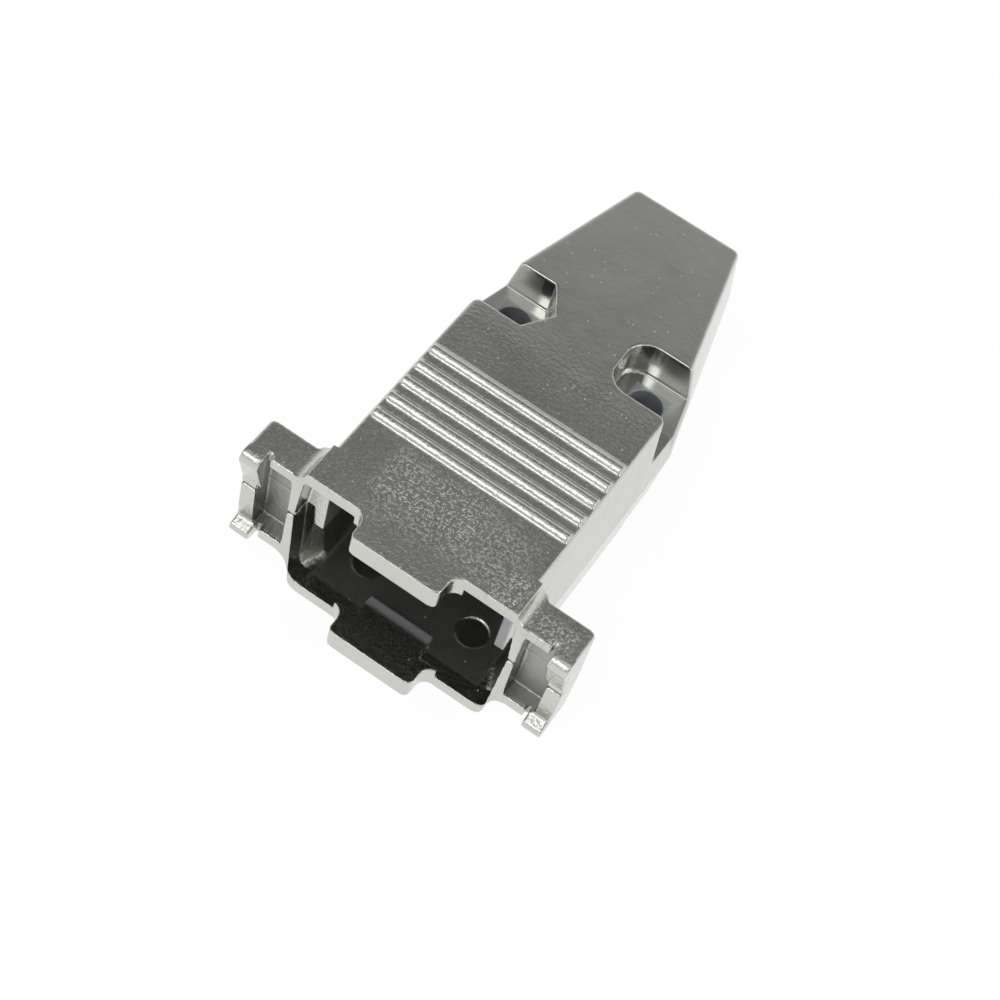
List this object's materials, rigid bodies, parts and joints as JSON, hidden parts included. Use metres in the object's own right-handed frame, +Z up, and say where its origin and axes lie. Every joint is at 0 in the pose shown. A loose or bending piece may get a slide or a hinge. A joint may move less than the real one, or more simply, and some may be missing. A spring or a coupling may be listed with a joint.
{
  "type": "d-sub hood",
  "caption": "Two-part die-cast metal hood that closes round the back of a D-sub connector and its cable, with grip ribs, side ears, screw pockets and a cable clamp inside.",
  "frame": {"origin": "centre of the connector opening, on the plane of the hood's front faces where the connector's flange seats", "axes": "+X across the ears, +Y from the connector towards the cable end, +Z up through the ribbed half"},
  "size_m": [0.031, 0.0463, 0.0174],
  "materials": {
    "shell": "bright nickel plating over a zinc casting, lightly pitted",
    "clamp": "nickel plated zinc",
    "screw": "zinc plated steel"
  },
  "bodies": {
    "root": {"upper_shell": "shell", "lower_shell": "shell", "cable_clamp": "clamp", "clamp_screw_left": "screw", "clamp_screw_right": "screw"}
  },
  "joints": []
}
